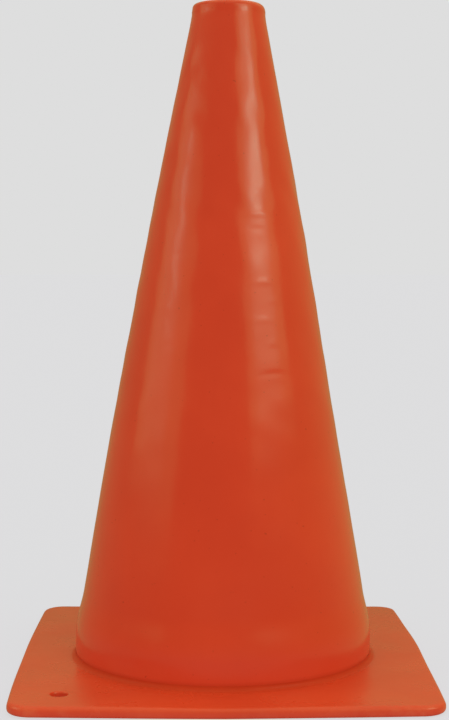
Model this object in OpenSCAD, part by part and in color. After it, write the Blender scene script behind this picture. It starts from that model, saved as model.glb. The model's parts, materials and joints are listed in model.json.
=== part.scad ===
// Traffic cone, 457 mm tall: a tapered hollow body snapped into a square base.
//
// The base drops over the body from above. It comes to rest on the flange around the
// body's foot, and a bead inside the base's collar snaps into a groove in the body.
// The origin is on the ground, under the centre of the base. +Z is up, and the hanging
// hole is in the corner towards -X and -Y. All sizes are in millimetres.

/* [Body] */
// Height from the ground to the top of the mouth
cone_h = 457; // [380:1:710]
// Outer radius of the upright band at the foot of the body
foot_r = 103; // [96:0.1:112]
// Outer radius that the straight taper would have at the top
taper_top_r = 23.5; // [23:0.1:34]
// How far the wall swells outwards at half height, beyond a straight taper
wall_swell = 2.0; // [0:0.1:4]
// Wall thickness of the body
wall = 2.8; // [2:0.1:4]

/* [Mouth] */
// Bore radius of the open mouth at the top
mouth_r = 19; // [14:0.1:19.2]
// Depth of the mouth's thickened lip
lip_h = 15; // [12:0.5:24]
// Rounding of the lip's outer edge
lip_round = 4.2; // [2:0.1:4.4]

/* [Base] */
// Side of the square base
base_w = 279; // [270:1:340]
// Radius of the base's corners, seen from above
corner_r = 16; // [12:0.5:26]
// Height of the base's edge
edge_h = 7; // [6.5:0.1:12]
// Thickness of the base's top skin
skin = 3; // [2.4:0.1:3.4]
// Width of the solid rim around the base's underside
rim_w = 4.5; // [4:0.1:8]
// Number of stiffening ribs under the base
rib_count = 16; // [8:4:24]

/* [Hanging hole] */
// Radius of the hole in one corner of the base
hole_r = 5.5; // [3:0.1:7]
// Distance from the hole's centre to both neighbouring sides of the base
hole_inset = 33.5; // [28:0.5:34]

/* [Colours] */
// Colour of the body
body_colour = "OrangeRed"; // [OrangeRed, Orange, Gold, LimeGreen]
// Colour of the base
base_colour = "OrangeRed"; // [OrangeRed, Orange, Gold, Black]

/* [Hidden] */
$fn = 128;
cut = 1;    // how far a cutting tool runs past the face that it opens
weld = 0.2; // how far joined shapes run into each other

// Foot of the body, and the flange that the base rests on
flange_top = edge_h - skin;
ground_gap = 0.8;  // the flange stays at least this far off the ground
flange_h = min(wall, flange_top - ground_gap);
flange_w = 9;
flange_r = foot_r + flange_w;
foot_inner_r = foot_r - wall;
band_top = 24;     // the upright band ends here
taper_start = 52;  // the taper has its full slope from here up
taper_foot_r = foot_r + 1.9; // the taper's radius if it ran down to the base's top face

// Collar and snap fit
fit_gap = 0.2;     // between the collar and the body
collar_h = 3.7;    // above the base's top face
collar_top_w = 0.9;
collar_foot_w = 5.6;
collar_bevel = 0.3; // on the collar's outer top edge
bead_r = 0.7;      // bead inside the collar
bead_z = edge_h + 1.4;
opening_r = foot_r + fit_gap;

// Lip around the mouth
lip_lean = 0.15;   // how fast the lip narrows upwards
lip_inner_round = 1.4;

// Ribs inside the body that keep stacked cones from jamming
stack_rib_count = 6;
stack_rib_w = 2.4;
stack_rib_depth = 5.5;
stack_rib_bottom = 26;
stack_rib_top = 96;
stack_rib_ramp = 8; // height of the sloping end

// Underside of the base
rim_top_round = 3.2;
rim_foot_round = 0.8;
rib_w = 2.4;
rib_lift = 0.6;    // ribs stay this far off the ground
ring_rib_gap = 0.6; // from the flange to the ring rib around it
ring_rib_w = 3;
boss_r = hole_r + 4;

// ---- outline of the body ----

// How far up the taper z is: 0 at the base's top face and 1 at the mouth
function up(z) = (z - edge_h) / (cone_h - edge_h);

// Outer radius of the plain taper, with its slight swell
function taper_r(z) =
    taper_foot_r + (taper_top_r - taper_foot_r) * up(z) + wall_swell * 4 * up(z) * (1 - up(z));

// Slope of the plain taper
function taper_slope(z) = (taper_r(z + 0.5) - taper_r(z - 0.5));

// Cubic curve from the upright band to the taper, level with both at its ends
function shoulder_r(z) =
    let (h = taper_start - band_top, t = (z - band_top) / h)
    foot_r * (2 * pow(t, 3) - 3 * pow(t, 2) + 1)
    + taper_r(taper_start) * (3 * pow(t, 2) - 2 * pow(t, 3))
    + h * taper_slope(taper_start) * (pow(t, 3) - pow(t, 2));

function outer_r(z) = z <= band_top ? foot_r : z < taper_start ? shoulder_r(z) : taper_r(z);

// Points [radius, height] on a quarter or half circle, from angle a0 to a1
function arc(cx, cz, r, a0, a1, steps) =
    [for (i = [0 : steps]) let (a = a0 + (a1 - a0) * i / steps) [cx + r * cos(a), cz + r * sin(a)]];

// Points up the wall from height a to height b, moved in by inset
function wall_points(a, b, steps, inset = 0) =
    [for (i = [0 : steps]) let (z = a + (b - a) * i / steps) [outer_r(z) - inset, z]];

lip_foot_z = cone_h - lip_h;
lip_foot_r = outer_r(lip_foot_z);
lip_top_r = lip_foot_r - lip_lean * (lip_h - lip_round);
chamfer = lip_foot_r - wall - mouth_r; // under the lip, at 45 degrees

body_outline = concat(
    [[foot_inner_r, flange_top - flange_h], [flange_r, flange_top - flange_h], [flange_r, flange_top]],
    [[foot_r, flange_top]],
    arc(foot_r, bead_z, bead_r + fit_gap, 270, 90, 8), // groove for the collar's bead
    wall_points(band_top, taper_start, 10),
    wall_points(taper_start + 12, lip_foot_z, 24),
    arc(lip_top_r - lip_round, cone_h - lip_round, lip_round, 0, 90, 8),
    arc(mouth_r + lip_inner_round, cone_h - lip_inner_round, lip_inner_round, 90, 180, 5),
    [[mouth_r, lip_foot_z]],
    wall_points(lip_foot_z - chamfer, taper_start + 12, 24, wall),
    wall_points(taper_start, band_top, 10, wall)
);

module stack_rib() {
    tip = wall + stack_rib_depth;
    low = stack_rib_bottom;
    high = stack_rib_top;
    rotate([90, 0, 0])
        linear_extrude(stack_rib_w, center = true)
            polygon([
                [outer_r(low) - wall / 2, low],
                [outer_r(low) - wall, low],
                [outer_r(low + stack_rib_ramp) - tip, low + stack_rib_ramp],
                [outer_r(high - stack_rib_ramp) - tip, high - stack_rib_ramp],
                [outer_r(high) - wall, high],
                [outer_r(high) - wall / 2, high]
            ]);
}

module cone_body() {
    color(body_colour) {
        rotate_extrude() polygon(body_outline);
        for (i = [0 : stack_rib_count - 1])
            rotate([0, 0, 360 / stack_rib_count * (i + 0.5)]) stack_rib();
    }
}

// ---- base ----

// Half of the base's cross-section, from the middle to x, with the rim's rounded edge
function edge_outline(x) = concat(
    [[0, 0]],
    arc(x - rim_foot_round, rim_foot_round, rim_foot_round, 270, 360, 3),
    arc(x - rim_top_round, edge_h - rim_top_round, rim_top_round, 0, 90, 6),
    [[0, edge_h]]
);

// Slab across the base between two opposite pairs of corners
module slab() {
    half = base_w / 2;
    run = base_w - 2 * corner_r;
    for (side = [0, 180])
        rotate([0, 0, side])
            rotate([90, 0, 0])
                linear_extrude(run, center = true) polygon(edge_outline(half));
}

// The solid square with round corners and rounded edges
module rounded_square() {
    slab();
    rotate([0, 0, 90]) slab();
    for (a = [0 : 90 : 270])
        rotate([0, 0, a])
            translate([base_w / 2 - corner_r, base_w / 2 - corner_r, 0])
                rotate_extrude() polygon(edge_outline(corner_r));
}

// The hollow under the skin, inside the rim
module pocket() {
    half = base_w / 2 - rim_w;
    inner_r = corner_r - rim_w;
    height = edge_h - skin + cut;
    translate([-half + inner_r, -half, -cut]) cube([2 * (half - inner_r), 2 * half, height]);
    translate([-half, -half + inner_r, -cut]) cube([2 * half, 2 * (half - inner_r), height]);
    for (a = [0 : 90 : 270])
        rotate([0, 0, a])
            translate([half - inner_r, half - inner_r, -cut]) cylinder(r = inner_r, h = height);
}

// Raised ring around the foot of the body, with a hollow flank and the snap bead inside
module collar() {
    top_z = edge_h + collar_h;
    flank_r = collar_h - collar_bevel;
    flank_x = opening_r + collar_top_w + flank_r;
    rotate_extrude()
        polygon(concat(
            [[opening_r, edge_h - skin]],
            [[opening_r + collar_foot_w, edge_h - skin], [opening_r + collar_foot_w, edge_h]],
            arc(flank_x, edge_h + flank_r, flank_r, 270, 180, 8),
            [[opening_r + collar_top_w - collar_bevel, top_z], [opening_r, top_z]],
            arc(opening_r, bead_z, bead_r, 90, 270, 8)
        ));
}

module underside_ribs() {
    half = base_w / 2;
    ring_in = flange_r + ring_rib_gap;
    ring_out = ring_in + ring_rib_w;
    rib_h = edge_h - skin - rib_lift + weld;
    corner_reach = half * sqrt(2) - corner_r * (sqrt(2) - 1) - rim_w / 2;
    intersection() {
        for (i = [0 : rib_count - 1])
            rotate([0, 0, 360 / rib_count * i])
                translate([ring_in + ring_rib_w / 2, -rib_w / 2, rib_lift]) cube([base_w, rib_w, rib_h]);
        translate([-half + rim_w / 2, -half + rim_w / 2, 0])
            cube([base_w - rim_w, base_w - rim_w, edge_h]);
        // ends the diagonal ribs inside the rim's round corners
        cylinder(r = corner_reach, h = edge_h);
    }
    translate([0, 0, rib_lift])
        difference() {
            cylinder(r = ring_out, h = rib_h);
            translate([0, 0, -cut]) cylinder(r = ring_in, h = rib_h + 2 * cut);
        }
}

module base_plate() {
    hole_at = hole_inset - base_w / 2;
    color(base_colour)
        difference() {
            union() {
                difference() {
                    rounded_square();
                    pocket();
                    translate([0, 0, -cut]) cylinder(r = opening_r + 1, h = edge_h + 2 * cut);
                }
                collar();
                underside_ribs();
                translate([hole_at, hole_at, 0]) cylinder(r = boss_r, h = edge_h - skin / 2);
            }
            translate([hole_at, hole_at, -cut]) cylinder(r = hole_r, h = edge_h + 2 * cut);
        }
}

cone_body();
base_plate();
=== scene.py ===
"""A moulded vinyl traffic cone: the detailed body and base, their materials, and a pale studio."""
import json
import math

import bpy
import numpy as np
from mathutils import Euler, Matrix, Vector


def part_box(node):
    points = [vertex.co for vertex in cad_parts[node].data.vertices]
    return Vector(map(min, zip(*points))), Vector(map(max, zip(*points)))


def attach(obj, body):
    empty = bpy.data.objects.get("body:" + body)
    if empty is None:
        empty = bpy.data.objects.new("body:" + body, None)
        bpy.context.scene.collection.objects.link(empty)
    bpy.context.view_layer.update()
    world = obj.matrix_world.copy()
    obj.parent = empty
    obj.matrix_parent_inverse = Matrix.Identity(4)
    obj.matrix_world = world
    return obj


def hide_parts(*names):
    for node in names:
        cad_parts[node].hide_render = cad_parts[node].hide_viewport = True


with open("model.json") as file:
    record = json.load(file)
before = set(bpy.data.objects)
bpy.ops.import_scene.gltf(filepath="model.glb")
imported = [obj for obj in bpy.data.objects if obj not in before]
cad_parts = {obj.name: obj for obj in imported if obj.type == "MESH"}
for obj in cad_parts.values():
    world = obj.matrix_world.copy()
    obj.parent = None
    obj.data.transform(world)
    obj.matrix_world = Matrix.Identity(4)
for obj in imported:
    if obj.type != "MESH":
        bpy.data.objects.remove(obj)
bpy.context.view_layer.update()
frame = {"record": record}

# ---------------------------------------------------------------- sizes, in metres
MM = 0.001
MOUNTS = {m["name"]: m for m in frame["record"]["mounts"]}


def mount_radius(name):
    """A round mount's radius, in metres."""
    return MOUNTS[name]["dims"]["r_mm"] * MM


body_low, body_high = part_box("cone_body")
base_low, base_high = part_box("base_plate")

# Body
CONE_H = body_high.z
WALL = 2.8 * MM
FOOT_R = mount_radius("nesting_opening") + WALL
FLANGE_R = body_high.x
FLANGE_BOTTOM = body_low.z
FLANGE_TOP = FLANGE_BOTTOM + WALL
BAND_TOP = 24 * MM          # the upright band at the foot ends here
TAPER_START = 52 * MM       # the taper has its full slope from here up
TAPER_FOOT_R = FOOT_R + 1.9 * MM
TAPER_TOP_R = 23.5 * MM
SWELL = 2.0 * MM            # how far the wall stands outside a straight taper at half height
MOUTH_R = mount_radius("top_mouth")
LIP_H = 15 * MM             # depth of the thickened lip, inside
LIP_OUTER_H = 8 * MM        # the outside turns upright this far below the top
LIP_LEAN = 0.07             # how fast that upright part still narrows
LIP_ROUND = 3.9 * MM        # rounding of the lip's outer edge, on average
LIP_ROUND_CHANGE = 1.1 * MM  # it is larger than that towards +X, and smaller towards -X
LIP_INNER_ROUND = 1.4 * MM
CONE_LEAN = 4.1 * MM        # the soft body leans this far towards +X at the top
LEAN_POWER = 1.5

# Base
BASE_HALF = base_high.x
EDGE_H = 7 * MM
SKIN = 3 * MM
RIM_W = 4.5 * MM
CORNER_R = 16 * MM
SIDE_BOW = 2.3 * MM         # the sides bulge outwards this far at their middles
SIDE_SPREAD = 0.5 * MM      # and stand this far outside CAD there
EXTRA_BULGE = (25 * MM, 40 * MM, 0.9 * MM)  # one more bulge in the +X side: Y, half length and height
CORNER_LIFT = {             # how far each corner curls up, by the signs of its X and Y
    (-1, -1): 1.1 * MM,
    (1, -1): 0.25 * MM,
    (-1, 1): 2.5 * MM,
    (1, 1): 1.4 * MM,
}
COLLAR_TOP = base_high.z
OPENING_R = FOOT_R + 0.06 * MM   # the collar hugs the body
COLLAR_FOOT_R = FOOT_R + 3.4 * MM
HOLE_R = mount_radius("hanging_hole")
HOLE_AT = np.array(MOUNTS["hanging_hole"]["pos_m"][:2])
BOSS_R = HOLE_R + 4 * MM
RIB_COUNT = 16
RIB_LIFT = 0.6 * MM
RING_RIB_IN = FLANGE_R + 0.6 * MM
RING_RIB_OUT = RING_RIB_IN + 3 * MM

RNG = np.random.default_rng(18)


# ---------------------------------------------------------------- outlines
def arc(cx, cz, r, start, end, steps):
    """Points [radius, height] on an arc, from one angle to another, in degrees."""
    angle = np.radians(np.linspace(start, end, steps + 1))
    return np.stack([cx + r * np.cos(angle), cz + r * np.sin(angle)], axis=1)


def line(a, b, step):
    """Points from a up to, but without, b."""
    a, b = np.array(a, float), np.array(b, float)
    count = max(1, int(round(np.linalg.norm(b - a) / step)))
    t = np.linspace(0, 1, count, endpoint=False)[:, None]
    return a + (b - a) * t


def rounded(corners, radii, step=1.0 * MM, steps=4):
    """An open outline through corners, each rounded by its own radius, without its last point."""
    corners = [np.array(c, float) for c in corners]
    made, at = [], corners[0]
    for before, here, after, r in zip(corners, corners[1:], corners[2:], radii):
        u = (before - here) / np.linalg.norm(before - here)
        v = (after - here) / np.linalg.norm(after - here)
        half = math.acos(np.clip(u @ v, -1, 1)) / 2
        cut = r / math.tan(half)
        centre = here + (u + v) / np.linalg.norm(u + v) * r / math.sin(half)
        start, end = here + u * cut, here + v * cut
        a0 = math.atan2(*(start - centre)[::-1])
        a1 = math.atan2(*(end - centre)[::-1])
        turn = (a1 - a0 + math.pi) % (2 * math.pi) - math.pi
        made.append(line(at, start, step))
        made.append(arc(*centre, r, math.degrees(a0), math.degrees(a0 + turn), steps)[:-1])
        at = end
    made.append(line(at, corners[-1], step))
    return np.concatenate(made)


def taper_r(z):
    """Outer radius of the plain taper, with its slight swell."""
    up = (z - EDGE_H) / (CONE_H - EDGE_H)
    return TAPER_FOOT_R + (TAPER_TOP_R - TAPER_FOOT_R) * up + SWELL * 4 * up * (1 - up)


def outer_r(z):
    """Outer radius of the body: upright band, shoulder, taper."""
    z = np.asarray(z, float)
    h = TAPER_START - BAND_TOP
    t = np.clip((z - BAND_TOP) / h, 0, 1)
    slope = (taper_r(TAPER_START + MM) - taper_r(TAPER_START - MM)) / (2 * MM)
    shoulder = (FOOT_R * (2 * t**3 - 3 * t**2 + 1) + taper_r(TAPER_START) * (3 * t**2 - 2 * t**3)
                + h * slope * (t**3 - t**2))
    return np.where(z < TAPER_START, shoulder, taper_r(z))


def wall_points(start, end, step, inset=0.0):
    """Points up or down the wall, without the last one, moved in by inset."""
    count = max(1, int(round(abs(end - start) / step)))
    z = np.linspace(start, end, count, endpoint=False)
    return np.stack([outer_r(z) - inset, z], axis=1)


def smooth(low, high, x):
    """0 below low, 1 above high, and a soft step between."""
    t = np.clip((x - low) / (high - low), 0, 1)
    return t * t * (3 - 2 * t)


# ---------------------------------------------------------------- meshes
SHARP_ANGLE = math.radians(38)


def grid_faces(index, closed_rows):
    """Quads between neighbouring rows of vertex numbers. The columns always close."""
    upper = np.roll(index, -1, axis=0)
    quads = np.stack([index, np.roll(index, -1, axis=1), np.roll(upper, -1, axis=1), upper], axis=-1)
    if not closed_rows:
        quads = quads[:-1]
    return quads


def make_piece(name, points, faces, material):
    """A smooth shaded piece that stays sharp where its faces turn by more than SHARP_ANGLE."""
    mesh = bpy.data.meshes.new(name)
    mesh.from_pydata(points.tolist(), [], faces.tolist())
    mesh.update()
    mesh.shade_smooth()
    mesh.set_sharp_from_angle(angle=SHARP_ANGLE)
    mesh.materials.append(material)
    piece = bpy.data.objects.new(name, mesh)
    bpy.context.scene.collection.objects.link(piece)
    return piece


def paint(piece, name, values):
    """A value per vertex, for the material to read."""
    layer = piece.data.attributes.new(name, "FLOAT", "POINT")
    layer.data.foreach_set("value", values.astype(np.float32))


def wave_field(turns, lengths, count):
    """A smooth random field over (angle, height), between about -1 and 1, that closes around the cone."""
    turn = RNG.integers(turns[0], turns[1] + 1, count)
    length = RNG.uniform(*lengths, count)
    phase = RNG.uniform(0, 2 * math.pi, count)
    sign = RNG.choice([-1, 1], count)

    def field(angle, z):
        total = 0
        for m, l, p, s in zip(turn, length, phase, sign):
            total = total + np.cos(m * angle + s * 2 * math.pi * z / l + p)
        return total / math.sqrt(count / 2)

    return field


def plane_field(lengths, count):
    """A smooth random field over the base's plane, between about -1 and 1."""
    length = RNG.uniform(*lengths, count)
    heading = RNG.uniform(0, 2 * math.pi, count)
    phase = RNG.uniform(0, 2 * math.pi, count)

    def field(x, y):
        total = 0
        for l, h, p in zip(length, heading, phase):
            total = total + np.cos(2 * math.pi * (x * math.cos(h) + y * math.sin(h)) / l + p)
        return total / math.sqrt(count / 2)

    return field


def columns(step, centres, offsets):
    """Angles around the axis, in degrees: even steps, with extra ones at offsets from each centre."""
    even = np.arange(0, 360, step)
    extra = np.array([c + o for c in centres for o in offsets])
    gap = np.abs((even[:, None] - extra[None, :] + 180) % 360 - 180).min(axis=1)
    every = np.concatenate([even[gap > 0.3 * step], extra % 360])
    return np.unique(np.round(every, 5))


# ---------------------------------------------------------------- body
FLASH_ANGLES = (0, 180)             # the mould's two halves met here
FLASH_OFFSETS = (-0.42, -0.16, 0, 0.16, 0.42)
FLASH_H = 0.14 * MM
STACK_RIB_ANGLES = range(30, 390, 60)
STACK_RIB_OFFSETS = (-0.95, -0.62, 0, 0.62, 0.95)
STACK_RIB_DEPTH = 5.5 * MM
STACK_RIB_SPAN = (26 * MM, 34 * MM, 88 * MM, 96 * MM)   # foot, full depth from, to, and head
BULGE_H = 0.20 * MM                 # height of the wall's broad waves
BULGE_WAVES = ((1, 3), (0.16, 0.4), 8)          # waves around, wavelengths up the wall, and how many
RIPPLE_H = 0.080 * MM               # height of its small ones
RIPPLE_WAVES = ((3, 14), (0.020, 0.060), 40)
RIPPLE_SPAN = (0.13, 0.21, 0.40, 0.45)  # they reach full height between the middle two of these heights,
RIPPLE_LEAST = 0.25                     # and keep this share of it below and above
FREE_FOOT = (14 * MM, 60 * MM)      # the foot holds the wall round, and the waves grow over this height
FREE_TOP = (16 * MM, 4 * MM)        # the lip does too, over this distance below the top
LIP_STEP = (0.10 * MM, 5.4 * MM, 0.7 * MM)  # step at the lip: its height, place below the top and half width

ROW_H = 2.6 * MM                    # height of the mesh's rows on the outside
CREASED = (190 * MM, 345 * MM)      # heights between which most creases lie
CREASED_ROW_H = 1.3 * MM            # and the finer rows there

# Creases from handling: angle from -Y towards +X in degrees, then in millimetres the height, half width,
# half height and depth. One with a negative depth stands out.
CREASES = (
    (24, 268, 8, 1.8, -0.22), (26, 313, 13, 2.4, -0.20), (20, 303, 7, 1.8, 0.12),
    (27, 336, 5, 2.0, 0.13), (24, 344, 4, 1.6, 0.10), (21, 243, 9, 2.2, -0.14),
    (27, 228, 4, 2.4, -0.16), (26, 208, 9, 1.9, 0.14), (33, 256, 8, 2.0, -0.10),
    (-40, 318, 9, 2.0, -0.12), (-36, 286, 10, 1.8, 0.12), (-44, 251, 11, 2.4, -0.11),
    (-32, 226, 9, 1.8, 0.09), (115, 300, 11, 2.0, 0.16), (150, 236, 12, 2.0, -0.16),
    (205, 322, 8, 1.8, 0.14), (236, 270, 10, 2.0, -0.14),
)
CREASE_ARCH = 0.5                   # how far a crease's ends droop, in its half heights
NICK = (90, 135, 2.6, 3.2, 0.55)    # a small knock on the +X side, told like a crease
FOOT_LIGHT_TOP = 42 * MM             # painted light: the wall is a little paler below this height, to make up for the light its foot lacks
BODY_COLUMNS = 212                  # even ones, before those for the seams and ribs

body_angles = columns(360 / BODY_COLUMNS, list(STACK_RIB_ANGLES), STACK_RIB_OFFSETS)
body_angles = np.union1d(body_angles, columns(360, FLASH_ANGLES, FLASH_OFFSETS))


def lip_outline(angle):
    """Rows over the lip as [row, column, (r, z)]. The outer edge's rounding changes around the mouth."""
    foot_z = CONE_H - LIP_OUTER_H
    foot_r = float(outer_r(foot_z)) + 0.1 * MM
    rounding = LIP_ROUND + LIP_ROUND_CHANGE * np.cos(angle)
    rows = []
    for t in np.linspace(0, 1, 4, endpoint=False):
        z = foot_z + (CONE_H - rounding - foot_z) * t
        rows.append(np.stack([foot_r - LIP_LEAN * (z - foot_z), z], axis=-1))
    top_r = foot_r - LIP_LEAN * (LIP_OUTER_H - rounding)
    for a in np.radians(np.linspace(0, 90, 10)):
        r = top_r - rounding * (1 - math.cos(a))
        z = CONE_H - rounding * (1 - math.sin(a))
        rows.append(np.stack([r, z], axis=-1))
    return np.array(rows)


def body_rows(angle):
    """The closed outline of the body's wall, outside going up and inside coming down."""
    foot_z = CONE_H - LIP_H
    under_lip = float(outer_r(foot_z)) - WALL - MOUTH_R
    inner_foot = FOOT_R - WALL
    flange = rounded([(inner_foot, FLANGE_TOP), (inner_foot, FLANGE_BOTTOM), (FLANGE_R, FLANGE_BOTTOM),
                      (FLANGE_R, FLANGE_TOP), (FOOT_R, FLANGE_TOP), (FOOT_R, EDGE_H)],
                     [0.5 * MM, 0.5 * MM, 0.5 * MM, 0.3 * MM], step=3 * MM, steps=3)
    outside = np.concatenate([
        line((FOOT_R, EDGE_H), (FOOT_R, BAND_TOP), 2 * MM),
        wall_points(BAND_TOP, TAPER_START, 2 * MM),
        wall_points(TAPER_START, CREASED[0], ROW_H),
        wall_points(*CREASED, CREASED_ROW_H),
        wall_points(CREASED[1], CONE_H - LIP_OUTER_H - MM, ROW_H),
    ])
    inside = np.concatenate([
        arc(MOUTH_R + LIP_INNER_ROUND, CONE_H - LIP_INNER_ROUND, LIP_INNER_ROUND, 90, 180, 5),
        line((MOUTH_R, CONE_H - LIP_INNER_ROUND), (MOUTH_R, foot_z), 2.5 * MM)[1:],
        rounded([(MOUTH_R, foot_z + MM), (MOUTH_R, foot_z),
                 (float(outer_r(foot_z - under_lip)) - WALL, foot_z - under_lip),
                 (float(outer_r(foot_z - 2 * under_lip)) - WALL, foot_z - 2 * under_lip)],
                [0.6 * MM, 2 * MM], step=1.5 * MM)[1:],
        wall_points(foot_z - 2 * under_lip, 100 * MM, 6 * MM, WALL),
        wall_points(100 * MM, BAND_TOP, 2 * MM, WALL),
        line((inner_foot, BAND_TOP), (inner_foot, FLANGE_TOP), 5 * MM),
    ])

    def spread(rows):
        return np.repeat(rows[:, None, :], len(angle), axis=1)

    lip = lip_outline(angle)
    rows = np.concatenate([spread(flange), spread(outside), lip, spread(inside)])
    is_outside = np.zeros(len(rows), bool)
    is_outside[len(flange):len(flange) + len(outside) + len(lip)] = True
    return rows, is_outside


def body_shape():
    """The body's points, their heights before any lean, and which rows are on the outside."""
    angle = np.radians(body_angles)
    rows, is_outside = body_rows(angle)
    r, z = rows[..., 0], rows[..., 1]
    angle = np.broadcast_to(angle, r.shape)
    outside = is_outside[:, None]
    from_front = np.degrees((angle + math.pi / 2 + math.pi) % (2 * math.pi) - math.pi)

    # broad unevenness and small waves, which the whole thin wall follows
    free_wall = smooth(*FREE_FOOT, z) * (1 - smooth(CONE_H - FREE_TOP[0], CONE_H - FREE_TOP[1], z))
    bulge = wave_field(*BULGE_WAVES)(angle, z)
    ripple = wave_field(*RIPPLE_WAVES)(angle, z)
    span = smooth(*RIPPLE_SPAN[:2], z) * (1 - smooth(*RIPPLE_SPAN[2:], z))
    ripple_share = RIPPLE_LEAST + (1 - RIPPLE_LEAST) * span
    r = r + free_wall * (BULGE_H * bulge + RIPPLE_H * ripple * ripple_share)
    for around, height, half_w, half_h, depth in CREASES:
        aside = np.radians((from_front - around + 180) % 360 - 180) * r / MM / half_w
        above = (z / MM - height + CREASE_ARCH * half_h * aside**2) / half_h
        r = r - depth * MM * np.exp(-(aside**2 + above**2)) * outside

    # a sharper knock in one side
    around, height, half_w, half_h, depth = NICK
    aside = np.radians((from_front - around + 180) % 360 - 180) * r / MM / half_w
    r = r - depth * MM * np.exp(-(aside**4 + ((z / MM - height) / half_h) ** 4)) * outside

    # the seam that the mould's halves left up both sides
    for at in FLASH_ANGLES:
        aside = np.abs((np.degrees(angle) - at + 180) % 360 - 180)
        ridge = 1 - smooth(0.05, 0.3, aside)
        seam_span = smooth(COLLAR_TOP, COLLAR_TOP + 4 * MM, z) * (1 - smooth(CONE_H - 6 * MM, CONE_H, z))
        r = r + FLASH_H * ridge * seam_span * outside

    # a fine step where the lip's rounding begins
    step_h, below_top, half_h = LIP_STEP
    r = r + step_h * np.exp(-(((z - (CONE_H - below_top)) / half_h) ** 2)) * outside

    # ribs inside, which keep stacked cones from jamming
    low, full_low, full_high, high = STACK_RIB_SPAN
    along = smooth(low, full_low, z) * (1 - smooth(full_high, high, z))
    for at in STACK_RIB_ANGLES:
        aside = np.abs((np.degrees(angle) - at + 180) % 360 - 180)
        across = 1 - smooth(0.6, 0.96, aside)
        r = r - STACK_RIB_DEPTH * along * across * ~outside

    lean = CONE_LEAN * np.clip(z / CONE_H, 0, 1) ** LEAN_POWER
    points = np.stack([r * np.cos(angle) + lean, r * np.sin(angle), z], axis=-1)
    return points, z, outside


def make_body(material):
    points, z, outside = body_shape()
    index = np.arange(points[..., 0].size).reshape(points.shape[:2])
    faces = grid_faces(index, closed_rows=True).reshape(-1, 4)
    piece = make_piece("cone_body_skin", points.reshape(-1, 3), faces, material)
    paint(piece, "wear", (smooth(CONE_H - 5 * MM, CONE_H, z) * outside).ravel())
    # painted shade in the crease at the collar
    paint(piece, "crease_shade", ((1 - smooth(COLLAR_TOP - 1 * MM, COLLAR_TOP + 3 * MM, z)) * outside).ravel())
    # painted light on the band just above the collar
    paint(piece, "foot", ((1 - smooth(COLLAR_TOP, FOOT_LIGHT_TOP, z)) * outside).ravel())
    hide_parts("cone_body")
    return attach(piece, "root")


# ---------------------------------------------------------------- base
RIB_ANGLES = [360 / RIB_COUNT * i for i in range(RIB_COUNT)]
RIB_OFFSETS = (-0.78, -0.55, 0, 0.55, 0.78)     # a rib's foot and its narrower edge
CORNER_OFFSETS = tuple(np.arange(-7.0, 7.1, 0.7))
HOLE_COLUMN_SPAN = 6.5      # degrees to each side of the hole's direction that its patch takes in
HOLE_PATCH_REACH = 17 * MM  # how far the patch reaches inwards and outwards from the hole
PLATE_ROWS = 16             # between the collar and the rim, on both sides of the skin
RIM_TOP_ROUND = 3.4 * MM
RIM_FOOT_ROUND = 2.2 * MM
TOP_WAVE_H = 0.22 * MM      # unevenness of the top face
TOP_WAVES = ((0.05, 0.16), 14)          # wavelengths, and how many
EDGE_WAVE = 0.0008          # unevenness of the outline, as a share of its distance from the axis
EDGE_WAVES = ((2, 9), (0.2, 0.4), 8)
BASE_COLUMN_STEP = 1.5      # degrees

base_angles = columns(BASE_COLUMN_STEP, RIB_ANGLES, RIB_OFFSETS)
base_angles = np.union1d(base_angles, columns(360, (45, 135, 225, 315), CORNER_OFFSETS).round(3))
keep = np.concatenate([[True], np.diff(base_angles) > 0.12])
base_angles = base_angles[keep]


def square_r(angle, inset):
    """Distance from the axis to the base's outline, moved in by inset, along each angle."""
    half = BASE_HALF + SIDE_SPREAD - SIDE_BOW - inset     # to a corner's side, where the bow has no height
    corner = max(CORNER_R - inset, 0.5 * MM)
    run = half - corner
    t = np.linspace(-1, 1, 81)
    side = np.stack([half + SIDE_BOW * (1 - t**2), run * t], axis=1)
    turn = np.radians(np.linspace(0, 90, 31))[1:-1]
    bend = np.stack([run + corner * np.cos(turn), run + corner * np.sin(turn)], axis=1)
    quarter = np.concatenate([side, bend])
    points = []
    for k in range(4):
        c, s = round(math.cos(k * math.pi / 2)), round(math.sin(k * math.pi / 2))
        points.append(quarter @ np.array([[c, s], [-s, c]]))
    points = np.concatenate(points)
    theta = np.arctan2(points[:, 1], points[:, 0])
    order = np.argsort(theta)
    theta, radius = theta[order], np.hypot(points[:, 0], points[:, 1])[order]
    wrapped = (np.asarray(angle) + math.pi) % (2 * math.pi) - math.pi
    return np.interp(wrapped, theta, radius, period=2 * math.pi)


def rib_height(angle_deg):
    """1 on a rib, 0 beside it."""
    total = np.zeros_like(angle_deg)
    for at in RIB_ANGLES:
        aside = np.abs((angle_deg - at + 180) % 360 - 180)
        total = np.maximum(total, 1 - smooth(0.54, 0.79, aside))
    return total


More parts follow.
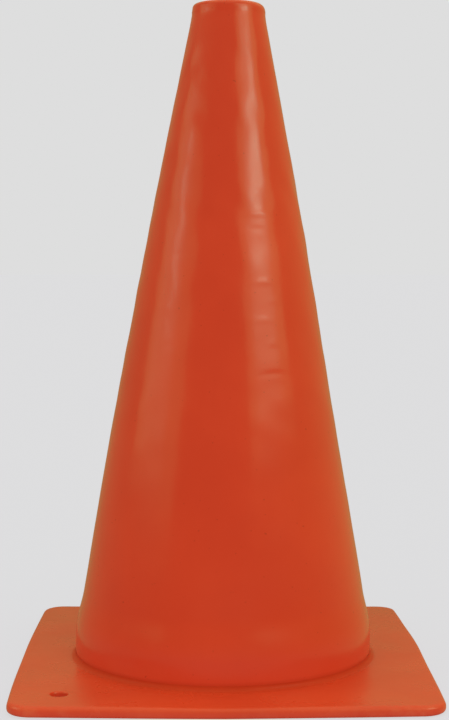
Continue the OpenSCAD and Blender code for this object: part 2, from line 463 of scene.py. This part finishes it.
def base_rows(angle):
    """Rows of the base's closed surface: up the collar, out over the top, round the edge, back underneath.

    Also the first and last row numbers of the flat stretches that the hole goes through.
    """
    count = len(angle)

    def ring(r, z):
        return np.stack([np.broadcast_to(r, count), np.broadcast_to(z, count)], axis=-1)

    rows, names = [], {}
    edge_r = OPENING_R + 0.12 * MM
    rows += [ring(r, z) for r, z in line((OPENING_R, FLANGE_TOP + MM), (OPENING_R, COLLAR_TOP), 1.2 * MM)]
    rows.append(ring(OPENING_R, COLLAR_TOP - 0.05 * MM))
    rows.append(ring(OPENING_R + 0.05 * MM, COLLAR_TOP))
    for a in np.radians(np.linspace(180, 270, 13)):
        flank_r = edge_r + (COLLAR_FOOT_R - edge_r) * (1 + math.cos(a))
        rows.append(ring(flank_r, EDGE_H + (COLLAR_TOP - 0.05 * MM - EDGE_H) * (1 + math.sin(a))))

    first = COLLAR_FOOT_R + 1.5 * MM
    last = square_r(angle, RIM_W + 0.3 * MM)
    rows.append(ring(first, EDGE_H))
    names["top_first"] = len(rows)
    inner_start = RING_RIB_OUT + 0.3 * MM
    for t in np.linspace(0, 1, PLATE_ROWS):
        rows.append(ring(inner_start + (last - inner_start) * t, EDGE_H))
    names["top_last"] = len(rows) - 1
    for a in np.radians(np.linspace(90, 0, 8)):
        inset = RIM_TOP_ROUND * (1 - math.cos(a))
        rows.append(ring(square_r(angle, inset), EDGE_H - RIM_TOP_ROUND * (1 - math.sin(a))))
    for a in np.radians(np.linspace(0, -90, 5)):
        inset = RIM_FOOT_ROUND * (1 - math.cos(a))
        rows.append(ring(square_r(angle, inset), RIM_FOOT_ROUND * (1 + math.sin(a))))
    rows.append(ring(square_r(angle, RIM_W - 0.4 * MM), 0))
    rows.append(ring(square_r(angle, RIM_W), 0.4 * MM))

    pocket = EDGE_H - SKIN
    on_rib = rib_height(np.degrees(angle) % 360)
    floor = pocket + (RIB_LIFT - pocket) * on_rib
    names["pocket_first"] = len(rows)
    for t in np.linspace(1, 0, PLATE_ROWS):
        rows.append(ring(inner_start + (last - inner_start) * t, floor))
    names["pocket_last"] = len(rows) - 1
    rows.append(ring(RING_RIB_OUT, RIB_LIFT + 0.3 * MM))
    rows.append(ring(RING_RIB_OUT - 0.3 * MM, RIB_LIFT))
    rows.append(ring(RING_RIB_IN + 0.3 * MM, RIB_LIFT))
    rows.append(ring(RING_RIB_IN, RIB_LIFT + 0.3 * MM))
    rows.append(ring(RING_RIB_IN - 0.1 * MM, pocket))
    rows.append(ring(OPENING_R + 0.6 * MM, pocket))
    rows.append(ring(OPENING_R, pocket + 0.4 * MM))
    return np.array(rows), names


def hole_patch(points, index, names, angle_deg):
    """Cuts the hanging hole and its boss.

    Returns the extra points, the faces between them, and the grid cells that they take the place of.
    """
    aim = math.degrees(math.atan2(HOLE_AT[1], HOLE_AT[0])) % 360
    reach = np.linalg.norm(HOLE_AT)
    cols = np.where(np.abs(angle_deg - aim) <= HOLE_COLUMN_SPAN)[0]
    radius = np.hypot(points[..., 0], points[..., 1])[:, cols[len(cols) // 2]]

    def rows_near_hole(stretch):
        rows = range(names[stretch + "_first"], names[stretch + "_last"] + 1)
        return [i for i in rows if abs(radius[i] - reach) < HOLE_PATCH_REACH]

    top = rows_near_hole("top")
    under = rows_near_hole("pocket")

    def loop(inner, outer):
        """Vertex numbers around the patch: out along one side, across, back in, and across again."""
        between = range(inner, outer, 1 if outer > inner else -1)
        numbers = [index[i, cols[0]] for i in between]
        numbers += [index[outer, c] for c in cols[:-1]]
        back = range(outer, inner, -1 if outer > inner else 1)
        numbers += [index[i, cols[-1]] for i in back]
        numbers += [index[inner, c] for c in cols[:0:-1]]
        return np.array(numbers)

    top_loop = loop(top[0], top[-1])
    under_loop = loop(under[-1], under[0])
    flat = points.reshape(-1, 3)
    toward = flat[top_loop][:, :2] - HOLE_AT
    toward /= np.linalg.norm(toward, axis=1)[:, None]

    pocket_z = flat[under_loop][:, 2]
    top_z = flat[top_loop][:, 2]
    rings = []

    def blend_ring(loop_numbers, share, circle_r, z):
        edge = flat[loop_numbers][:, :2]
        xy = edge + (HOLE_AT + toward * circle_r - edge) * share
        rings.append(np.concatenate([xy, np.broadcast_to(z, len(edge))[:, None]], axis=1))

    for share in (0.3, 0.6, 0.82):
        blend_ring(top_loop, share, HOLE_R + 1.6 * MM, top_z)
    mean_z = top_z.mean()
    for out, drop in ((1.6, 0), (1.0, 0.03), (0.55, 0.22), (0.2, 0.6), (0.03, 1.2), (0, 2.2)):
        blend_ring(top_loop, 1, HOLE_R + out * MM, mean_z - drop * MM)
    foot_z = mean_z - EDGE_H
    for out, z in ((0, 2.4), (0, 0.8), (0.2, 0.25), (0.7, 0), (3.5, 0), (3.9, 0.3)):
        blend_ring(top_loop, 1, HOLE_R + out * MM, foot_z + z * MM)
    low = foot_z + 0.3 * MM
    for out, share_z in ((4.1, 0.5), (4.3, 0.96), (4.9, 1.0)):
        blend_ring(top_loop, 1, HOLE_R + out * MM, low + (pocket_z - low) * share_z)
    for share in (0.7, 0.4):
        blend_ring(under_loop, share, BOSS_R + 0.9 * MM, pocket_z)

    new = np.concatenate(rings)
    numbers = len(flat) + np.arange(len(new)).reshape(len(rings), -1)
    numbers = np.concatenate([top_loop[None], numbers, under_loop[None]])
    patch = grid_faces(numbers, closed_rows=False)[..., ::-1].reshape(-1, 4)
    removed = {(i, c) for i in range(top[0], top[-1]) for c in cols[:-1]}
    removed |= {(i, c) for i in range(under[0], under[-1]) for c in cols[:-1]}
    return new, patch, removed


def corner_lift(x, y):
    """How far the soft base stands up at (x, y): most at its corners, and nowhere near the collar."""
    u, v = x / BASE_HALF, y / BASE_HALF
    away = smooth(COLLAR_FOOT_R + 2 * MM, COLLAR_FOOT_R + 35 * MM, np.hypot(x, y))
    total = 0
    for (side_x, side_y), height in CORNER_LIFT.items():
        total = total + height * np.maximum(u * side_x, 0) * np.maximum(v * side_y, 0)
    return total * away


def make_base(material):
    angle = np.radians(base_angles)
    rows, names = base_rows(angle)
    r, z = rows[..., 0], rows[..., 1]
    x, y = r * np.cos(angle), r * np.sin(angle)

    # the top face isn't quite flat, but stays level at the collar and at the edge
    wave = plane_field(*TOP_WAVES)(x, y)
    upper = smooth(EDGE_H - 2 * MM, EDGE_H - 0.2 * MM, z) * (1 - smooth(EDGE_H + 0.2 * MM, EDGE_H + MM, z))
    level = smooth(COLLAR_FOOT_R, COLLAR_FOOT_R + 14 * MM, r)
    z = z + TOP_WAVE_H * wave * upper * level
    z = z + corner_lift(x, y)

    # nor is the outline quite even
    edge_wave = wave_field(*EDGE_WAVES)(angle, 0 * angle)
    outward = smooth(0.8, 1.0, r / square_r(angle, 0))
    grow = 1 + EDGE_WAVE * edge_wave * outward
    at, half, height = EXTRA_BULGE
    bulge = height * np.exp(-(((y - at) / half) ** 2)) * (x > 0) * outward
    points = np.stack([x * grow + bulge, y * grow, np.broadcast_to(z, x.shape)], axis=-1)

    index = np.arange(x.size).reshape(x.shape)
    new, patch, removed = hole_patch(points, index, names, base_angles)
    quads = grid_faces(index, closed_rows=True)
    kept = np.ones(quads.shape[:2], bool)
    for i, c in removed:
        kept[i, c] = False
    faces = np.concatenate([quads[kept][:, ::-1], patch[:, ::-1]])
    every = np.concatenate([points.reshape(-1, 3), new])
    piece = make_piece("base_plate_skin", every, faces, material)

    # worn at the edge, most of all at the corners; painted shade in the crease and a painted contact shadow
    # low on the edge
    every_x, every_y, every_z = every.T
    from_axis = np.hypot(every_x, every_y)
    out = from_axis / square_r(np.arctan2(every_y, every_x), 0)
    near_corner = smooth(1.15, 1.32, from_axis / BASE_HALF)
    rubbed = smooth(0.98, 1.0, out) * (0.3 + 0.7 * near_corner)
    paint(piece, "wear", np.clip(rubbed, 0, 1))
    in_crease = 1 - smooth(COLLAR_FOOT_R - 1.6 * MM, COLLAR_FOOT_R + 1.0 * MM, from_axis)
    above_foot = every_z - corner_lift(every_x, every_y)
    under_edge = (1 - smooth(0.2 * MM, RIM_FOOT_ROUND, above_foot)) * (out > 0.96)
    paint(piece, "crease_shade", np.maximum(in_crease, under_edge))
    # painted shade, growing towards the back of the base
    paint(piece, "back_shade", smooth(-0.3 * BASE_HALF, BASE_HALF, every_y))
    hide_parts("base_plate")
    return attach(piece, "root")


# ---------------------------------------------------------------- materials
class Nodes:
    """A node tree, with short calls for the nodes that the vinyl needs."""

    def __init__(self, tree):
        self.tree = tree
        tree.nodes.clear()

    def add(self, kind, **settings):
        node = self.tree.nodes.new(kind)
        for name, value in settings.items():
            setattr(node, name, value)
        return node

    def link(self, source, target):
        self.tree.links.new(source, target)

    def noise(self, coords, scale, detail=2.0, roughness=0.5):
        node = self.add("ShaderNodeTexNoise")
        node.inputs["Scale"].default_value = scale
        node.inputs["Detail"].default_value = detail
        node.inputs["Roughness"].default_value = roughness
        self.link(coords, node.inputs["Vector"])
        return node.outputs["Fac"]

    def stretched(self, coords, scale):
        node = self.add("ShaderNodeMapping")
        node.inputs["Scale"].default_value = scale
        self.link(coords, node.inputs["Vector"])
        return node.outputs["Vector"]

    def ranged(self, value, low, high, to_low=0.0, to_high=1.0):
        node = self.add("ShaderNodeMapRange", interpolation_type="SMOOTHSTEP")
        self.link(value, node.inputs["Value"])
        for name, number in (("From Min", low), ("From Max", high), ("To Min", to_low), ("To Max", to_high)):
            node.inputs[name].default_value = number
        return node.outputs["Result"]

    def maths(self, operation, a, b):
        node = self.add("ShaderNodeMath", operation=operation)
        for socket, value in zip(node.inputs, (a, b)):
            if isinstance(value, (int, float)):
                socket.default_value = value
            else:
                self.link(value, socket)
        return node.outputs["Value"]

    def mix(self, share, a, b):
        node = self.add("ShaderNodeMix", data_type="RGBA")
        factor, first, second = node.inputs[0], node.inputs[6], node.inputs[7]
        self.link(share, factor)
        for socket, value in ((first, a), (second, b)):
            if isinstance(value, tuple):
                socket.default_value = (*value, 1)
            else:
                self.link(value, socket)
        return node.outputs[2]

    def bump(self, height, distance, strength, normal=None):
        node = self.add("ShaderNodeBump")
        node.inputs["Distance"].default_value = distance
        node.inputs["Strength"].default_value = strength
        self.link(height, node.inputs["Height"])
        if normal is not None:
            self.link(normal, node.inputs["Normal"])
        return node.outputs["Normal"]


PALE_RUB = (0.78, 0.20, 0.10)   # where edges are worn
# painted light for the body's foot
FOOT_PAINTED_LIGHT = (0.80, 0.086, 0.058)
# painted shade for the back of the base
BACK_SHADE = (0.40, 0.055, 0.026)
FOOT_LIGHT_SHARE = 0.5            # how much of each tint shows where its mask is full
CREASE_SHADE_SHARE = 0.26
BACK_SHADE_SHARE = 0.5
RUB_SHARE = 0.22
CREASE_SHADE_DARK = 0.5           # the painted crease shade's colour, as a share of the deep one
DIRT_DARK = 0.45            # and the specks'
CREASE_SPECULAR = 0.03


def vinyl(name, colour, deep, gloss, rough, specular, grain, specks):
    """Soft orange PVC.

    It has cloudy pigment between colour and deep, faint flow lines, dark specks, pale rubs, a
    roughness that changes between gloss and rough, and a fine orange-peel skin.
    """
    material = bpy.data.materials.new(name)
    material.use_nodes = True
    n = Nodes(material.node_tree)
    coords = n.add("ShaderNodeTexCoord").outputs["Object"]

    clouds = n.ranged(n.noise(coords, 14, 3, 0.55), 0.32, 0.68)
    tint = n.mix(clouds, colour, deep)
    flow = n.ranged(n.noise(n.stretched(coords, (120, 120, 9)), 1, 2), 0.5, 0.8, 0, 0.3)
    tint = n.mix(flow, tint, deep)

    # painted shade: darker down in the crease between the two pieces; painted light: paler just above it, to
    # make up for the light the foot lacks
    foot = n.add("ShaderNodeAttribute", attribute_name="foot").outputs["Fac"]
    tint = n.mix(n.maths("MULTIPLY", foot, FOOT_LIGHT_SHARE), tint, FOOT_PAINTED_LIGHT)
    crease_shade = n.add("ShaderNodeAttribute", attribute_name="crease_shade").outputs["Fac"]
    in_shade = tuple(CREASE_SHADE_DARK * c for c in deep)
    tint = n.mix(n.maths("MULTIPLY", crease_shade, CREASE_SHADE_SHARE), tint, in_shade)

    # painted shade: a little darker towards the back of the base, where less light reaches
    back_shade = n.add("ShaderNodeAttribute", attribute_name="back_shade").outputs["Fac"]
    tint = n.mix(n.maths("MULTIPLY", back_shade, BACK_SHADE_SHARE), tint, BACK_SHADE)

    # specks of dirt in the pigment
    dirt = n.ranged(n.noise(coords, 420, 1), 0.765, 0.79, 0, specks)
    tint = n.mix(dirt, tint, tuple(DIRT_DARK * c for c in deep))

    # paler where edges are rubbed
    wear = n.add("ShaderNodeAttribute", attribute_name="wear").outputs["Fac"]
    worn = n.maths("MULTIPLY", wear, n.ranged(n.noise(coords, 90, 4, 0.65), 0.45, 0.7))
    tint = n.mix(n.maths("MULTIPLY", worn, RUB_SHARE), tint, PALE_RUB)

    roughness = n.ranged(n.noise(coords, 26, 3, 0.6), 0.3, 0.7, gloss, rough)
    roughness = n.maths("ADD", roughness, n.maths("MULTIPLY", worn, 0.12))

    peel = n.bump(n.noise(coords, 260, 2, 0.5), 0.00010, grain)
    normal = n.bump(n.noise(coords, 1400, 2, 0.6), 0.00003, grain, peel)

    shader = n.add("ShaderNodeBsdfPrincipled")
    shader.inputs["IOR"].default_value = 1.5
    n.link(n.ranged(crease_shade, 0, 1, specular, CREASE_SPECULAR), shader.inputs["Specular IOR Level"])
    n.link(tint, shader.inputs["Base Color"])
    n.link(roughness, shader.inputs["Roughness"])
    n.link(normal, shader.inputs["Normal"])
    output = n.add("ShaderNodeOutputMaterial")
    n.link(shader.outputs["BSDF"], output.inputs["Surface"])
    return material


# ---------------------------------------------------------------- studio
PALE = 0.73                 # how bright the backdrop looks, and the floor with its light
FLOOR_GLOW = 0.63
FLOOR_HALF = 25
DOME_R = 24
LIT_ONLY = "lit_vinyl"      # the collection that the low front light is kept to
FLOOR_ALBEDO = (0.098, 0.094, 0.198)   # bluish, so that the warm light still leaves it grey
WORLD_LOBES = {             # light that comes from along each axis
    ("X", 1): (0.92, 0.76, 0.24),
    ("X", -1): (0.56, 0.47, 0.21),
    ("Y", 1): (0.32, 0.31, 0.115),
    ("Y", -1): (0.55, 0.46, 0.23),
    ("Z", 1): (1.42, 1.56, 0.86),
    ("Z", -1): (0.3, 0.3, 0.15),
}
WARM = (0.50, 1.0, 0.38)
WHITE = (0.42, 1.0, 0.80)
YELLOW = (1.0, 1.0, 0.48)
PANEL_LEAN = math.radians(22)

# Softboxes that the gloss mirrors: heading from -Y towards +X in degrees, distance, the heights of the
# lower and upper edge, degrees to each side, strength and colour
PANELS = {
    "key": (50, 1.2, 0.455, 1.25, 28, 2.0, WARM),
    "key_middle": (48, 1.19, 0.50, 1.25, 16, 1.75, WHITE),
    "key_core": (51.5, 1.18, 0.72, 0.97, 7.0, 3.2, WHITE),
    "key_hot": (50, 1.17, 0.735, 0.83, 12, 5.5, WHITE),
    "fill": (-73.5, 1.2, 0.31, 0.90, 28, 1.25, WARM),
    "fill_middle": (-78, 1.19, 0.36, 0.86, 16, 0.6, WHITE),
    "fill_core": (-74, 1.18, 0.56, 0.80, 4.5, 2.5, WHITE),
}
LOW_FRONT = (0, 0.85, 0.03, 0.16, 22, 1.45, YELLOW)     # the same for the one that isn't mirrored
CAMERA_AT = (-0.0209, -1.0842, 0.2844)
CAMERA_PITCH = -3.78        # degrees, downwards is negative
CAMERA_HEADING = 1.165      # degrees from +Y towards +X
LENS = 78.1                 # for a 36 mm sensor along the picture's long side


def make_camera():
    data = bpy.data.cameras.new("camera")
    data.sensor_width = 36
    data.lens = LENS
    data.clip_start = 0.01
    data.clip_end = 60
    camera = bpy.data.objects.new("camera", data)
    camera.rotation_euler = Euler((math.radians(90 + CAMERA_PITCH), 0, -math.radians(CAMERA_HEADING)), "XYZ")
    camera.location = CAMERA_AT
    bpy.context.scene.collection.objects.link(camera)
    bpy.context.scene.camera = camera


def panel(name, heading, distance, low, high, half_angle, strength, colour, mirrored=True):
    """A tall softbox that leans over towards the object.

    It is either mirrored in the gloss and lights nothing, or it lights the two vinyl pieces without
    being mirrored. The second kind leaves the floor alone, where it would show as a patch.
    """
    tall = (high - low) / math.cos(PANEL_LEAN)
    wide = 2 * distance * math.tan(math.radians(half_angle))
    data = bpy.data.lights.new(name, "AREA")
    data.shape = "RECTANGLE"
    data.size, data.size_y = wide, tall
    data.energy = strength * wide * tall * math.pi
    data.color = colour
    lamp = bpy.data.objects.new(name, data)
    out = Vector((math.sin(math.radians(heading)), -math.cos(math.radians(heading)), 0))
    lamp.location = out * distance + Vector((0, 0, (low + high) / 2))
    lamp.rotation_euler = (-out - Vector((0, 0, math.tan(PANEL_LEAN)))).to_track_quat("-Z", "Y").to_euler()
    lamp.visible_camera = False
    lamp.visible_diffuse = not mirrored
    lamp.visible_glossy = mirrored
    if not mirrored:
        lamp.light_linking.receiver_collection = bpy.data.collections[LIT_ONLY]
    bpy.context.scene.collection.objects.link(lamp)
    return lamp


def glow_material(name, glow, albedo):
    """Pale seamless paper, evened out by a little light of its own."""
    material = bpy.data.materials.new(name)
    material.use_nodes = True
    n = Nodes(material.node_tree)
    shader = n.add("ShaderNodeBsdfPrincipled")
    shader.inputs["Base Color"].default_value = (*albedo, 1)
    shader.inputs["Roughness"].default_value = 1
    shader.inputs["Specular IOR Level"].default_value = 0
    shader.inputs["Emission Color"].default_value = (1, 1, 1, 1)
    shader.inputs["Emission Strength"].default_value = glow
    output = n.add("ShaderNodeOutputMaterial")
    n.link(shader.outputs["BSDF"], output.inputs["Surface"])
    return material


def make_floor():
    """Pale paper underneath. The vinyl doesn't mirror it, so the walls keep their depth of colour."""
    corners = [(x * FLOOR_HALF, y * FLOOR_HALF, 0) for x, y in ((-1, -1), (1, -1), (1, 1), (-1, 1))]
    mesh = bpy.data.meshes.new("floor")
    mesh.from_pydata(corners, [], [(0, 1, 2, 3)])
    mesh.materials.append(glow_material("floor_paper", FLOOR_GLOW, FLOOR_ALBEDO))
    floor = bpy.data.objects.new("floor", mesh)
    floor.visible_glossy = False
    bpy.context.scene.collection.objects.link(floor)


def make_backdrop():
    """A pale dome far behind everything, which only the camera sees."""
    bpy.ops.mesh.primitive_uv_sphere_add(segments=48, ring_count=24, radius=DOME_R)
    dome = bpy.context.object
    dome.name = "backdrop"
    dome.data.materials.append(glow_material("backdrop_paper", PALE, (0, 0, 0)))
    for kind in ("diffuse", "glossy", "transmission", "volume_scatter", "shadow"):
        setattr(dome, "visible_" + kind, False)


def make_world():
    """Soft light from all round: a broad lobe of it along each axis."""
    world = bpy.data.worlds.new("studio")
    bpy.context.scene.world = world
    world.use_nodes = True
    n = Nodes(world.node_tree)
    split = n.add("ShaderNodeSeparateXYZ")
    n.link(n.add("ShaderNodeTexCoord").outputs["Generated"], split.inputs["Vector"])
    total = None
    for (axis, sign), colour in WORLD_LOBES.items():
        toward = n.maths("MAXIMUM", n.maths("MULTIPLY", split.outputs[axis], float(sign)), 0.0)
        lobe = n.add("ShaderNodeVectorMath", operation="SCALE")
        lobe.inputs["Vector"].default_value = colour
        n.link(n.maths("MULTIPLY", toward, toward), lobe.inputs["Scale"])
        if total is None:
            total = lobe.outputs["Vector"]
        else:
            both = n.add("ShaderNodeVectorMath", operation="ADD")
            n.link(total, both.inputs[0])
            n.link(lobe.outputs["Vector"], both.inputs[1])
            total = both.outputs["Vector"]
    background = n.add("ShaderNodeBackground")
    n.link(total, background.inputs["Color"])
    output = n.add("ShaderNodeOutputWorld")
    n.link(background.outputs["Background"], output.inputs["Surface"])


def make_studio():
    lit = bpy.data.collections.new(LIT_ONLY)
    for name in ("cone_body_skin", "base_plate_skin"):
        lit.objects.link(bpy.data.objects[name])
    make_camera()
    make_world()
    make_floor()
    make_backdrop()
    for name, settings in PANELS.items():
        panel(name, *settings)
    panel("low_front", *LOW_FRONT, mirrored=False)
    view = bpy.context.scene.view_settings
    view.view_transform = "Standard"
    view.look = "None"


# ---------------------------------------------------------------- the object
body_vinyl = vinyl("body_vinyl", colour=(0.66, 0.049, 0.021), deep=(0.63, 0.044, 0.019),
                   gloss=0.17, rough=0.22, specular=0.25, grain=0.25, specks=0.4)
base_vinyl = vinyl("base_vinyl", colour=(0.68, 0.060, 0.029), deep=(0.64, 0.053, 0.026),
                   gloss=0.25, rough=0.33, specular=0.25, grain=0.05, specks=0.04)
make_body(body_vinyl)
make_base(base_vinyl)
make_studio()
